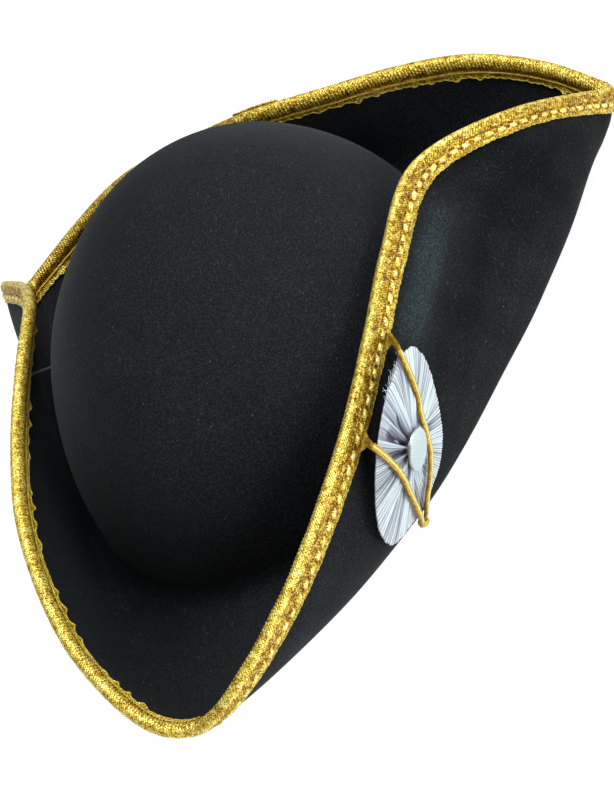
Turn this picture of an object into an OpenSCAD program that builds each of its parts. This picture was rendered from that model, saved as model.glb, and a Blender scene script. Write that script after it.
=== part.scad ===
// Three-cornered pirate hat: a blocked felt crown and brim, the brim turned up on three
// sides, bound with gold braid, with a ribbon cockade, a covered button and a cord loop.
// Millimetres. Origin: centre of the head opening. +Z up, front corner along -Y.

/* [Crown] */
// Half width of the crown at its base, outside
crown_half_width = 87; // [80:1:94]
// Half length of the crown at its base, outside
crown_half_length = 103; // [96:1:110]
// Height of the crown above the head opening
crown_height = 112; // [95:1:125]
// Thickness of the felt
felt_thick = 2.2; // [1.8:0.1:3]

/* [Braid] */
// Width of the braid on the outer face of the brim
braid_outer_width = 9.5; // [7:0.5:13]
// Width of the braid on the inner face of the brim
braid_inner_width = 9; // [7:0.5:12]
// Thickness of the braid
braid_thick = 1.2; // [0.9:0.1:1.5]
// Diameter of the wire in the brim's edge
wire_diameter = 1.2; // [1:0.1:1.4]

/* [Sweatband] */
// Height of the ribbon sweatband
band_height = 26; // [18:1:34]
// Thickness of the ribbon sweatband
band_thick = 0.8; // [0.6:0.1:1.2]
// Number of stitches that hold the sweatband
band_stitches = 44; // [24:2:60]

/* [Cockade] */
// Longest radius of the pleated ribbon rosette
rosette_radius = 36; // [30:0.5:38]
// Thickness of the pleated ribbon
rosette_thick = 2.4; // [1.6:0.1:3]
// Radius of the covered button
button_radius = 8.6; // [6:0.2:9]
// Radius of the button's shank
shank_radius = 1.5; // [1.2:0.1:2]
// Radial clearance between the shank and its thread collar
shank_clearance = 0.06; // [0.02:0.01:0.1]

/* [Cord] */
// Width of the flat gold cord
cord_width = 3; // [2:0.5:4]
// Thickness of the flat gold cord
cord_thick = 1.4; // [1.2:0.1:2]

/* [Hidden] */

// Stations along the brim, from the front corner round the left side to the middle of the
// back: [rim line, bottom of the fold, angle on the crown's base oval]. The rim line is the
// brim's own edge, along which the braid is folded over a wire.
RIM = [
    [[0, -179, 17], [0, -152, -5], -90],
    [[20, -174, 25], [26, -147, -7], -78],
    [[48, -143, 40], [53, -123, -13], -62],
    [[69, -98, 54], [77, -90, -17], -44],
    [[78, -57, 62], [96, -57, -17], -30],
    [[83, -15, 67], [115, -23, -17], -14],
    [[90, 28, 67], [138, 9, -17], 3],
    [[121, 60, 52], [148, 46, -15], 18],
    [[145, 102, 15], [142, 86, -6], 33],
    [[117, 120, 25], [118, 112, -12], 45],
    [[88, 127, 36], [88, 124, -15], 57],
    [[58, 125, 44], [60, 131, -16], 68],
    [[34, 113, 54], [30, 133, -16], 79],
    [[0, 107, 60], [0, 133, -16], 90]
];
CORNER = 8; // the station at the rear corner
HALF = len(RIM) - 1;
LOOP = 2 * HALF;
SOFTEN = 0.15; // how far along the stations the corners are rounded
STEPS = 4; // rings of facets from one station to the next
RINGS = LOOP * STEPS;
BRIM_ROWS = 9;
CROWN_ROWS = 10;
PULL_BASE = 0.75; // how far the brim's section runs out towards the fold from the crown
PULL_EDGE = 0.62; // how far it runs down towards the fold from the edge
CROWN_IN = 1.9; // shape of the crown's profile
CROWN_UP = 2.1;
CROWN_LEAN = 4; // how far the soft crown's top leans to the wearer's left
GAP = 0.3;

// --- Curves through the stations ---------------------------------------------------------
function crown_base(angle) =
    [crown_half_width * cos(angle), crown_half_length * sin(angle), 0];
EDGE = [for (s = RIM) s[0]];
FOLD = [for (s = RIM) s[1]];
BASE = [for (s = RIM) crown_base(s[2])];

function flip(p) = [-p[0], p[1], p[2]];
function near(list, i, low, high) =
    i < 0 ? flip(list[-i]) :
    i > HALF ? flip(list[LOOP - i]) :
    i < low ? 2 * list[low] - list[low + 1] :
    i > high ? 2 * list[high] - list[high - 1] :
    list[i];
function spline(a, b, c, d, f) =
    0.5 * (2 * b + (c - a) * f + (2 * a - 5 * b + 4 * c - d) * f * f
           + (3 * b - a - 3 * c + d) * f * f * f);
function half_curve(list, v, low, high, i) =
    spline(near(list, i - 1, low, high), near(list, i, low, high),
           near(list, i + 1, low, high), near(list, i + 2, low, high), v - i);
function half_point(list, v) =
    v < CORNER ? half_curve(list, v, 0, CORNER, min(floor(v), CORNER - 1))
               : half_curve(list, v, CORNER, HALF, min(floor(v), HALF - 1));
function wrap(u) = u < 0 ? u + LOOP : u >= LOOP ? u - LOOP : u;
function sharp(list, u) = u > HALF ? flip(half_point(list, LOOP - u)) : half_point(list, u);
function curve(list, u) =
    (sharp(list, wrap(u - SOFTEN)) + 2 * sharp(list, wrap(u)) + sharp(list, wrap(u + SOFTEN))) / 4;

// --- The brim's surface: its outer (lower) face at station u, s from 0 (crown) to 1 (edge) --
function bezier(a, b, c, d, s) =
    a * pow(1 - s, 3) + 3 * b * s * pow(1 - s, 2) + 3 * c * s * s * (1 - s) + d * pow(s, 3);
function section_at(base, fold, edge, s) =
    bezier(base, base + (fold - base) * PULL_BASE, edge + (fold - edge) * PULL_EDGE, edge, s);
function brim(u, s) = section_at(curve(BASE, u), curve(FOLD, u), curve(EDGE, u), s);
function unit(v) = v / norm(v);
function brim_normal(u, s) =
    let (along = brim(u + 0.05, s) - brim(u - 0.05, s),
         out = brim(u, min(s + 0.02, 1)) - brim(u, max(s - 0.02, 0)))
    unit(cross(out, along));
// A point on the brim at a height above its outer face, and a distance in from the rim line
function brim_at(u, s, lift) = brim(u, s) + brim_normal(u, s) * lift;
function edge_span(u) = norm(brim(u, 1) - brim(u, 0.9)) / 0.1;
function from_edge(u, inward, lift) =
    inward >= 0
        ? brim_at(u, 1 - inward / edge_span(u), lift)
        : brim_at(u, 1, lift) - unit(brim(u, 1) - brim(u, 0.96)) * inward;

// --- The crown's surface ----------------------------------------------------------------
function crown_radius(t) = pow(1 - pow(t, CROWN_UP), 1 / CROWN_IN);
// A point of the crown at an angle, t of the way up, inset by a distance
function crown(angle, t, inset) =
    [(crown_half_width - inset) * crown_radius(t) * cos(angle) + CROWN_LEAN * t,
     (crown_half_length - inset) * crown_radius(t) * sin(angle),
     (crown_height - inset) * t];
function base_angle(u) =
    let (p = curve(BASE, u)) atan2(p[1] / crown_half_length, p[0] / crown_half_width);

// --- Solids from rings of points ----------------------------------------------------------
// A closed tube of rings, each with the same number of points, that runs round on itself
module closed_sweep(rings) {
    n = len(rings[0]);
    m = len(rings);
    polyhedron(
        points = [for (r = rings) for (p = r) p],
        faces = [for (i = [0 : m - 1]) for (j = [0 : n - 1]) for (half = [0, 1])
            let (a = i * n + j, b = i * n + (j + 1) % n, c = ((i + 1) % m) * n + (j + 1) % n,
                 d = ((i + 1) % m) * n + j)
            half == 0 ? [a, b, c] : [a, c, d]]);
}
// A tube of rings with flat ends
module open_sweep(rings) {
    n = len(rings[0]);
    m = len(rings);
    polyhedron(
        points = [for (r = rings) for (p = r) p],
        faces = concat(
            [[for (j = [n - 1 : -1 : 0]) j]],
            [for (i = [0 : m - 2]) for (j = [0 : n - 1]) for (half = [0, 1])
                let (a = i * n + j, b = i * n + (j + 1) % n, c = (i + 1) * n + (j + 1) % n,
                     d = (i + 1) * n + j)
                half == 0 ? [a, b, c] : [a, c, d]],
            [[for (j = [0 : n - 1]) (m - 1) * n + j]]));
}
// A flat cord along a list of points, its wide side across `face`
module flat_cord(route, face, width, thick) {
    sides = 8;
    open_sweep([for (i = [0 : len(route) - 1])
        let (a = route[max(i - 1, 0)], b = route[min(i + 1, len(route) - 1)],
             t = unit(b - a), side = unit(cross(t, face)), up = cross(side, t))
        [for (k = [0 : sides - 1])
            route[i] + side * cos(k * 360 / sides) * width / 2
                     + up * sin(k * 360 / sides) * thick / 2]]);
}

// --- Felt ---------------------------------------------------------------------------------
BRIM_S = [for (j = [1 : BRIM_ROWS]) j / BRIM_ROWS]; // from beside the crown to the edge
WIRE_IN = 0.35; // the wire's centre, in from the rim line
FELT_IN = WIRE_IN + wire_diameter / 2 + GAP; // the felt ends inside the wire
function felt_s(u, s) = min(s, 1 - FELT_IN / edge_span(u));
function felt_ring(u) =
    let (angle = base_angle(u))
    concat(
        [for (j = [1 : CROWN_ROWS]) crown(angle, cos(j * 90 / CROWN_ROWS) + felt_thick / crown_height
            * (j / CROWN_ROWS), 0)],
        [for (s = BRIM_S) brim_at(u, felt_s(u, s), felt_thick)],
        [for (j = [BRIM_ROWS - 1 : -1 : 0]) brim_at(u, felt_s(u, BRIM_S[j]), 0)],
        [for (j = [CROWN_ROWS : -1 : 1]) crown(angle, cos(j * 90 / CROWN_ROWS), felt_thick)]);

module felt_body() {
    rings = [for (i = [0 : RINGS - 1]) felt_ring(i / STEPS)];
    n = len(rings[0]);
    top = RINGS * n;
    color([0.05, 0.05, 0.06])
        polyhedron(
            points = concat([for (r = rings) for (p = r) p],
                            [[CROWN_LEAN, 0, crown_height],
                             [CROWN_LEAN, 0, crown_height - felt_thick]]),
            faces = concat(
                [for (i = [0 : RINGS - 1]) for (j = [0 : n - 2]) for (half = [0, 1])
                    let (k = (i + 1) % RINGS, a = i * n + j, b = a + 1, c = k * n + j + 1, d = k * n + j)
                    half == 0 ? [a, c, b] : [a, d, c]],
                [for (i = [0 : RINGS - 1]) let (k = (i + 1) % RINGS) [top, k * n, i * n]],
                [for (i = [0 : RINGS - 1]) let (k = (i + 1) % RINGS)
                    [top + 1, i * n + n - 1, k * n + n - 1]]));
}

// --- Edge: wire and braid -------------------------------------------------------------------
module edge_wire() {
    sides = 8;
    color("silver")
        closed_sweep([for (i = [0 : RINGS - 1])
            [for (k = [0 : sides - 1])
                from_edge(i / STEPS, WIRE_IN - cos(k * 360 / sides) * wire_diameter / 2,
                          felt_thick / 2 + sin(k * 360 / sides) * wire_diameter / 2)]]);
}
BRAID_OUT = wire_diameter / 2 + GAP - WIRE_IN; // inside of the braid, beyond the rim line
BRAID_GAP = 0.45; // between the braid and the felt's faces
// The folded section: [distance in from the rim line, height above the felt's outer face]
BRAID_SECTION = [
    [braid_outer_width, -BRAID_GAP],
    [braid_outer_width, -BRAID_GAP - braid_thick],
    [braid_outer_width / 2, -BRAID_GAP - braid_thick],
    [-0.4, -BRAID_GAP - braid_thick],
    [-BRAID_OUT - braid_thick, felt_thick / 2 - 1],
    [-BRAID_OUT - braid_thick, felt_thick / 2 + 1],
    [0, felt_thick + BRAID_GAP + 2 * braid_thick],
    [braid_inner_width / 2, felt_thick + BRAID_GAP + 2 * braid_thick],
    [braid_inner_width, felt_thick + BRAID_GAP + braid_thick],
    [braid_inner_width, felt_thick + BRAID_GAP],
    [braid_inner_width / 2, felt_thick + BRAID_GAP],
    [-0.2, felt_thick + BRAID_GAP],
    [-BRAID_OUT, felt_thick / 2 + 0.9],
    [-BRAID_OUT, felt_thick / 2 - 0.9],
    [-0.2, -BRAID_GAP],
    [braid_outer_width / 2, -BRAID_GAP]
];
function braid_ring(u) = [for (p = BRAID_SECTION) from_edge(u, p[0], p[1])];
module edge_braid() {
    color("goldenrod")
        closed_sweep([for (i = [0 : RINGS - 1]) braid_ring(i / STEPS)]);
}
LAP_HALF = 0.3; // half the lapped length, in stations
LAP_OVER = braid_thick + 0.5;
module braid_lap() {
    color("gold")
        open_sweep([for (u = [HALF - LAP_HALF : 0.1 : HALF + LAP_HALF + 0.01])
            [for (p = [[braid_outer_width - 0.5, 0], [braid_outer_width - 0.5, 1], [0.5, 1], [0.5, 0]])
                from_edge(u, p[0], -GAP - LAP_OVER - p[1])]]);
}

// --- Inside: sweatband, stitches and label ----------------------------------------------------
BAND_LOW = 1;
BAND_INSET = felt_thick + 2 * GAP;
function band_point(angle, z, inset) = crown(angle, z / (crown_height - inset), inset);
module sweatband() {
    color([0.08, 0.08, 0.09])
        closed_sweep([for (a = [0 : 4 : 356])
            concat(
                [for (f = [0 : 1 / 3 : 1.01])
                    band_point(a, BAND_LOW + band_height * f, BAND_INSET)],
                [for (f = [1 : -1 / 3 : -0.01])
                    band_point(a, BAND_LOW + band_height * f, BAND_INSET + band_thick)])]);
}
STITCH = [4.5, 0.7, 0.5]; // length, height and thickness of one stitch
module sweatband_stitches() {
    color([0.15, 0.15, 0.17])
        for (k = [0 : band_stitches - 1]) {
            a = (k + 0.5) * 360 / band_stitches;
            inset = BAND_INSET + band_thick + STITCH[2] / 2 + GAP / 2;
            p = band_point(a, BAND_LOW + 2, inset);
            q = band_point(a + 1, BAND_LOW + 2, inset);
            translate(p)
                rotate([0, 0, atan2(q[1] - p[1], q[0] - p[0])])
                    cube([STITCH[0], STITCH[2], STITCH[1]], center = true);
        }
}
LABEL = [0.4, 14]; // thickness and height
LABEL_HALF = 8; // half its length, in degrees of the band
LABEL_LOW = BAND_LOW + 6;
LABEL_INSET = BAND_INSET + band_thick + 0.2;
module size_label() {
    color("white")
        open_sweep([for (a = [90 - LABEL_HALF : 4 : 90 + LABEL_HALF])
            [band_point(a, LABEL_LOW, LABEL_INSET),
             band_point(a, LABEL_LOW + LABEL[1], LABEL_INSET),
             band_point(a, LABEL_LOW + LABEL[1], LABEL_INSET + LABEL[0]),
             band_point(a, LABEL_LOW, LABEL_INSET + LABEL[0])]]);
}

// --- Thread bars that hold the flaps up against the crown -----------------------------------------
TACK_DIAMETER = 1.2;
// A bar from the crown to the inner face of the flap at station u, inward from the edge
module flap_tack(u, inward) {
    flap = from_edge(u, inward, felt_thick);
    angle = atan2(flap[1] / crown_half_length, flap[0] / crown_half_width);
    wall = crown(angle, flap[2] / crown_height, 0);
    span = flap - wall;
    color([0.1, 0.1, 0.1])
        translate(wall + unit(span) * GAP)
            rotate([0, acos(span[2] / norm(span)), atan2(span[1], span[0])])
                cylinder(h = norm(span) - 2 * GAP, d = TACK_DIAMETER, $fn = 24);
}
module left_flap_tack() flap_tack(5.2, 14);
module right_flap_tack() flap_tack(LOOP - 5.2, 14);
module back_flap_tack() flap_tack(HALF, 14);

// --- Cockade, button and cord ----------------------------------------------------------------------
COCKADE_AT = [81.7, -84.8, 32.1]; // centre of the rosette
COCKADE_OUT = unit([0.938, -0.203, -0.276]); // the way the rosette faces
ROSETTE_NARROW = 0.65; // the rosette's short radius over its long one
ROSETTE_LEAN = 122; // direction of the long radius, from straight down towards the back
ROSETTE_SHIFT = [2.3, 2.6]; // middle of the oval, from where the ribbon is gathered
RIM_DROP = 4; // how far the rim lies behind the middle
RIM_CURL = 4.8; // how far it curls outward instead, where the flap's fold pushes it
CURL_AT = 35;
// Puts its children on the rosette's middle, with +Z the way the rosette faces
module on_cockade() {
    translate(COCKADE_AT)
        rotate([0, acos(COCKADE_OUT[2]), atan2(COCKADE_OUT[1], COCKADE_OUT[0])])
            children();
}
COLLAR_WALL = 0.9;
COLLAR_RADIUS = shank_radius + shank_clearance + COLLAR_WALL;
COLLAR_LOW = -5;
BUTTON_LOW = 3.4; // underside of the button above the rosette's middle
function rim_point(angle) =
    let (x = rosette_radius * cos(angle), y = rosette_radius * ROSETTE_NARROW * sin(angle),
         c = cos(ROSETTE_LEAN), s = sin(ROSETTE_LEAN))
    ROSETTE_SHIFT + [x * c - y * s, x * s + y * c];
// Height of the ribbon in the direction of a rim point, f of the way out to it
function dish(rim, f) =
    let (curl = pow(max(0, cos(atan2(rim[1], rim[0]) - CURL_AT)), 2))
    f * f * (RIM_CURL * curl - RIM_DROP * (1 - curl));
ROSETTE_ROWS = [0.3, 0.6, 0.95];
module cockade_rosette() {
    hole = COLLAR_RADIUS + GAP;
    color([0.85, 0.86, 0.95])
        on_cockade()
            closed_sweep([for (a = [0 : 6 : 354])
                let (rim = rim_point(a), inner = hole * unit(rim),
                     spread = function(f, lift) [rim[0] * f, rim[1] * f, dish(rim, f) + lift])
                concat(
                    [[inner[0], inner[1], rosette_thick / 4], [inner[0], inner[1], -rosette_thick / 2]],
                    [for (f = ROSETTE_ROWS) spread(f, -rosette_thick / 2)],
                    [spread(1, 0)],
                    [for (j = [2 : -1 : 0]) spread(ROSETTE_ROWS[j], rosette_thick / 2)])]);
}
BACKING = [7, 1]; // radius and thickness
BACKING_TOP = -rosette_thick / 2 - 2 * GAP;
module cockade_backing() {
    color([0.9, 0.9, 0.9])
        on_cockade()
            translate([0, 0, BACKING_TOP - BACKING[1]])
                difference() {
                    cylinder(r = BACKING[0], h = BACKING[1], $fn = 48);
                    translate([0, 0, -1])
                        cylinder(r = COLLAR_RADIUS + GAP, h = BACKING[1] + 2, $fn = 48);
                }
}
TACK_RING = 5; // radius on which the backing's tacks lie
TACK_LENGTH = 1.6;
module cockade_tacks() {
    color("white")
        on_cockade()
            for (a = [120, 200, 280])
                rotate([0, 0, a])
                    translate([TACK_RING, 0, BACKING_TOP - BACKING[1] - TACK_LENGTH])
                        cylinder(d = 1, h = TACK_LENGTH, $fn = 16);
}
module shank_thread() {
    color("white")
        on_cockade()
            translate([0, 0, COLLAR_LOW])
                difference() {
                    cylinder(r = COLLAR_RADIUS, h = BUTTON_LOW - GAP - COLLAR_LOW, $fn = 48);
                    translate([0, 0, 1])
                        cylinder(r = shank_radius + shank_clearance, h = 20, $fn = 48);
                }
}
CAP_WALL = 0.8;
CAP_HEIGHT = 3;
CAP_SKIRT = 1; // height of the cap's straight rim
module button_cap() {
    color([0.92, 0.93, 0.98])
        on_cockade()
            translate([0, 0, BUTTON_LOW])
                rotate_extrude($fn = 48)
                    polygon(concat(
                        [[button_radius - CAP_WALL, 0], [button_radius - 0.3, 0]],
                        [for (a = [0 : 15 : 90])
                            [button_radius * cos(a), CAP_SKIRT + (CAP_HEIGHT - CAP_SKIRT) * sin(a)]],
                        [for (a = [90 : -15 : 0])
                            [(button_radius - CAP_WALL) * cos(a),
                             CAP_SKIRT + (CAP_HEIGHT - CAP_SKIRT - CAP_WALL) * sin(a)]]));
}
BACK_THICK = 0.7;
SHANK_DEPTH = 5.5;
module button_back() {
    color("lightgray")
        on_cockade()
            translate([0, 0, BUTTON_LOW]) {
                cylinder(r = button_radius - CAP_WALL, h = BACK_THICK, $fn = 48);
                translate([0, 0, -SHANK_DEPTH])
                    cylinder(r = shank_radius, h = SHANK_DEPTH + 0.1, $fn = 48);
            }
}
// The two strands of cord, from the braid over the rosette to the stitch at the flap's foot
UPPER_ROUTE = [[83.5, -52.5, 56.5], [88.5, -60.5, 60], [91.5, -66, 61], [91.5, -67.5, 58],
               [91, -68.5, 52], [89.5, -70.5, 42.5], [87.5, -73, 35.5], [86, -74.5, 28.5],
               [85, -76, 24.5], [84, -78, 20.5], [81, -82.5, 14], [77.5, -87, 8.5],
               [75.8, -88.5, 5.5], [73.5, -88, 1.5], [71.5, -87, -1.2]];
LOWER_ROUTE = [[74, -91.5, 47], [78, -97.5, 51.5], [81.5, -102.5, 54.5], [82.5, -102.5, 51.5],
               [81.5, -99, 42], [81, -97.5, 33], [78, -95.5, 21], [76, -94, 13.5],
               [74.8, -93.4, 8.8], [73.2, -92.3, 4], [71, -90.7, -0.5]];
module loop_cord_upper() {
    color("gold")
        flat_cord(UPPER_ROUTE, COCKADE_OUT, cord_width, cord_thick);
}
module loop_cord_lower() {
    color("gold")
        flat_cord(LOWER_ROUTE, COCKADE_OUT, cord_width, cord_thick);
}
LOOP_FOOT = [69.5, -88.2, -3]; // where the stitch ties both strands down
module loop_end_stitch() {
    color("goldenrod")
        translate(LOOP_FOOT)
            sphere(r = 1.3, $fn = 32);
}
STITCH_RADIUS = 1;
STITCH_BACK = 1.6; // how far the stitch on the braid lies behind the cord's end
STITCH_OUT = 1.8; // and how far out from the braid
module loop_braid_stitches() {
    color("goldenrod")
        for (route = [UPPER_ROUTE, LOWER_ROUTE])
            translate(route[0] - unit(route[1] - route[0]) * STITCH_BACK + COCKADE_OUT * STITCH_OUT)
                sphere(r = STITCH_RADIUS, $fn = 32);
}

felt_body();
edge_wire();
edge_braid();
braid_lap();
sweatband();
sweatband_stitches();
size_label();
left_flap_tack();
right_flap_tack();
back_flap_tack();
cockade_rosette();
cockade_backing();
cockade_tacks();
shank_thread();
button_cap();
button_back();
loop_cord_upper();
loop_cord_lower();
loop_end_stitch();
loop_braid_stitches();
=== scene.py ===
import math

import bpy
import numpy as np
from mathutils import Matrix, Vector


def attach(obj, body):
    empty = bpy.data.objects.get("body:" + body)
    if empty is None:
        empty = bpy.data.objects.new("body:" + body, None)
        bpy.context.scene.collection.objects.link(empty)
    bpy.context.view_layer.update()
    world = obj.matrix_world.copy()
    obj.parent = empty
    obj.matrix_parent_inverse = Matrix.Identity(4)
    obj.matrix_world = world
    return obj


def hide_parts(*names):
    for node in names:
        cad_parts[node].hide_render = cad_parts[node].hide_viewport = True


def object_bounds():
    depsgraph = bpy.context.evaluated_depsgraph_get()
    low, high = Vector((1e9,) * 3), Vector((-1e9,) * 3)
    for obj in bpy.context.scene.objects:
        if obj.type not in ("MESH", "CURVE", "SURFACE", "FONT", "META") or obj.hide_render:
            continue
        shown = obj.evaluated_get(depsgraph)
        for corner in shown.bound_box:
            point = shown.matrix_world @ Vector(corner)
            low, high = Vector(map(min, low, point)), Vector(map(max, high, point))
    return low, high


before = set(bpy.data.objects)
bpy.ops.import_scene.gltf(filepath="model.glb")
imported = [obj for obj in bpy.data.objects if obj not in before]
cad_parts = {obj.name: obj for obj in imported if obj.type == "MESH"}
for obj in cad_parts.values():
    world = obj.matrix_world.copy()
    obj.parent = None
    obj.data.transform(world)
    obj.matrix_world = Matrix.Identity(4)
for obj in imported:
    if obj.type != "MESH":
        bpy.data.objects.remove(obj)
CAD_BOX = [list(corner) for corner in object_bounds()]

MM = 0.001
TURN = 2 * math.pi
RANDOM = np.random.default_rng(7)

# --- The hat's shape in millimetres, as in part.scad ---
CROWN_WIDTH = 87.0
CROWN_LENGTH = 103.0
CROWN_HEIGHT = 112.0
FELT = 2.2
# Stations from the front corner round the left side to the middle of the back:
# rim line, bottom of the fold, angle in degrees on the crown's base oval
RIM = [
    [[0, -179, 17], [0, -152, -5], -90],
    [[20, -174, 25], [26, -147, -7], -78],
    [[48, -143, 40], [53, -123, -13], -62],
    [[69, -98, 54], [77, -90, -17], -44],
    [[78, -57, 62], [96, -57, -17], -30],
    [[83, -15, 67], [115, -23, -17], -14],
    [[90, 28, 67], [138, 9, -17], 3],
    [[121, 60, 52], [148, 46, -15], 18],
    [[145, 102, 15], [142, 86, -6], 33],
    [[117, 120, 25], [118, 112, -12], 45],
    [[88, 127, 36], [88, 124, -15], 57],
    [[58, 125, 44], [60, 131, -16], 68],
    [[34, 113, 54], [30, 133, -16], 79],
    [[0, 107, 60], [0, 133, -16], 90],
]
CORNER = 8
HALF = len(RIM) - 1
LOOP = 2 * HALF
SOFTEN = 0.15
PULL_BASE = 0.75
PULL_EDGE = 0.62
CROWN_IN = 1.9
CROWN_UP = 2.1
CROWN_LEAN = 4.0
MIRROR = np.array([-1.0, 1.0, 1.0])


def unit(v):
    return v / np.linalg.norm(v, axis=-1, keepdims=True)


def run_along(path):
    """Distance along a path at each of its points."""
    steps = np.linalg.norm(np.diff(path, axis=0), axis=1)
    return np.concatenate([[0], np.cumsum(steps)])


def with_ends(points):
    """The side's stations and the back's, each with the point beyond both of its ends."""
    p = np.array(points, float)
    side = np.vstack([p[1] * MIRROR, p[:CORNER + 1], 2 * p[CORNER] - p[CORNER - 1]])
    back = np.vstack([2 * p[CORNER] - p[CORNER + 1], p[CORNER:], p[HALF - 1] * MIRROR])
    return side, back


def spline(row, v):
    i = np.clip(np.floor(v).astype(int), 0, len(row) - 4)
    f = (v - i)[..., None]
    a, b, c, d = row[i], row[i + 1], row[i + 2], row[i + 3]
    cubic = (3 * b - a - 3 * c + d) * f
    return 0.5 * (2 * b + f * (c - a + f * (2 * a - 5 * b + 4 * c - d + cubic)))


def sharp(rows, u):
    v = np.where(u > HALF, LOOP - u, u)
    side = spline(rows[0], np.minimum(v, CORNER))
    back = spline(rows[1], np.maximum(v - CORNER, 0))
    p = np.where((v < CORNER)[..., None], side, back)
    return np.where((u > HALF)[..., None], p * MIRROR, p)


def curve(rows, u):
    u = np.asarray(u, float)
    around = [sharp(rows, (u + step) % LOOP) for step in (-SOFTEN, 0, 0, SOFTEN)]
    return sum(around) / len(around)


def crown_base(degrees):
    a = math.radians(degrees)
    return [CROWN_WIDTH * math.cos(a), CROWN_LENGTH * math.sin(a), 0]


EDGE = with_ends([s[0] for s in RIM])
FOLD = with_ends([s[1] for s in RIM])
BASE = with_ends([crown_base(s[2]) for s in RIM])


def brim(u, s):
    """The brim's outer face at station u, s from 0 at the crown to 1 at the edge."""
    u, s = np.broadcast_arrays(np.asarray(u, float), np.asarray(s, float))
    base, fold, edge = curve(BASE, u), curve(FOLD, u), curve(EDGE, u)
    s = s[..., None]
    r = 1 - s
    out = base + (fold - base) * PULL_BASE
    down = edge + (fold - edge) * PULL_EDGE
    return base * r**3 + 3 * out * s * r**2 + 3 * down * s**2 * r + edge * s**3


def brim_normal(u, s):
    along = brim(u + 0.05, s) - brim(u - 0.05, s)
    out = brim(u, np.minimum(s + 0.02, 1)) - brim(u, np.maximum(s - 0.02, 0))
    return unit(np.cross(out, along))


def brim_at(u, s, lift):
    lift = np.asarray(lift, float)[..., None]
    return brim(u, s) + brim_normal(u, s) * lift


def from_edge(u, inward, lift):
    """A point a distance in from the rim line, at a height above the brim's outer face."""
    u, inward, lift = np.broadcast_arrays(u, inward, lift)
    span = np.linalg.norm(brim(u, 1) - brim(u, 0.9), axis=-1) / 0.1
    on_felt = brim_at(u, 1 - np.maximum(inward, 0) / span, lift)
    out = unit(brim(u, 1) - brim(u, 0.96))
    return on_felt - out * np.minimum(inward, 0)[..., None]


def crown(angle, t, inset=0.0):
    """The crown at an angle in radians, t of the way up, inset by a distance."""
    angle, t, inset = np.broadcast_arrays(angle, t, inset)
    r = (1 - np.clip(t, 0, 1)**CROWN_UP)**(1 / CROWN_IN)
    return np.stack([(CROWN_WIDTH - inset) * r * np.cos(angle) + CROWN_LEAN * t,
                     (CROWN_LENGTH - inset) * r * np.sin(angle),
                     (CROWN_HEIGHT - inset) * t], axis=-1)


def base_angle(u):
    p = curve(BASE, u)
    return np.arctan2(p[..., 1] / CROWN_LENGTH, p[..., 0] / CROWN_WIDTH)


# Distance along the rim line, from the front corner round by the left side
STATIONS = np.linspace(0, LOOP, 10401)
RUN = run_along(curve(EDGE, STATIONS))
EDGE_LENGTH = RUN[-1]


def run_at(u):
    return np.interp(u, STATIONS, RUN)


def station_at(run):
    return np.interp(run, RUN, STATIONS)


# --- Meshes ---
def grid_faces(rows, columns, around_rows=False, around_columns=False, first=0):
    i = np.arange(rows if around_rows else rows - 1)
    j = np.arange(columns if around_columns else columns - 1)
    i, j = [k.ravel() for k in np.meshgrid(i, j, indexing="ij")]
    down, right = (i + 1) % rows, (j + 1) % columns
    faces = np.stack([i * columns + j, i * columns + right,
                      down * columns + right, down * columns + j], axis=1)
    return (faces + first).tolist()


def end_faces(rows, columns, way=1):
    """The faces that close the first and last ring of a grid; way is 1 or -1."""
    first = list(range(columns))
    last = [(rows - 1) * columns + k for k in first]
    return [first[::way], last[::-way]]


def add_piece(name, points, faces, material, replaces=(), body="hat", uv=None,
              tone_and_painted_light=None):
    """A mesh from points in millimetres. uv and the per-point tone, which carries painted light and
    shade, are values at its points.
    """
    mesh = bpy.data.meshes.new(name)
    points = np.asarray(points, float).reshape(-1, 3)
    mesh.from_pydata((points * MM).tolist(), [], faces)
    mesh.shade_smooth()
    if uv is not None:
        corner = np.zeros(len(mesh.loops), np.int32)
        mesh.loops.foreach_get("vertex_index", corner)
        layer = mesh.uv_layers.new(name="thread")
        layer.data.foreach_set("uv", np.asarray(uv, float).reshape(-1, 2)[corner].ravel())
    if tone_and_painted_light is not None:
        values = mesh.attributes.new("tone_and_painted_light", "FLOAT", "POINT")
        values.data.foreach_set("value", np.asarray(tone_and_painted_light, float).ravel())
    mesh.validate()
    piece = bpy.data.objects.new(name, mesh)
    bpy.context.scene.collection.objects.link(piece)
    mesh.materials.append(material)
    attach(piece, body)
    if replaces:
        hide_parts(*replaces)
    return piece


def frames_along(path, closed=False):
    """Two unit vectors across the path at each point, turned as little as possible."""
    path = np.asarray(path, float)
    if closed:
        tangent = unit(np.roll(path, -1, axis=0) - np.roll(path, 1, axis=0))
    else:
        tangent = unit(np.gradient(path, axis=0))
    first = np.cross(tangent[0], [0.31, 0.52, 0.79])
    side = [unit(first)]
    for t in tangent[1:]:
        side.append(unit(side[-1] - t * np.dot(side[-1], t)))
    side = np.array(side)
    return side, np.cross(tangent, side)


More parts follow.
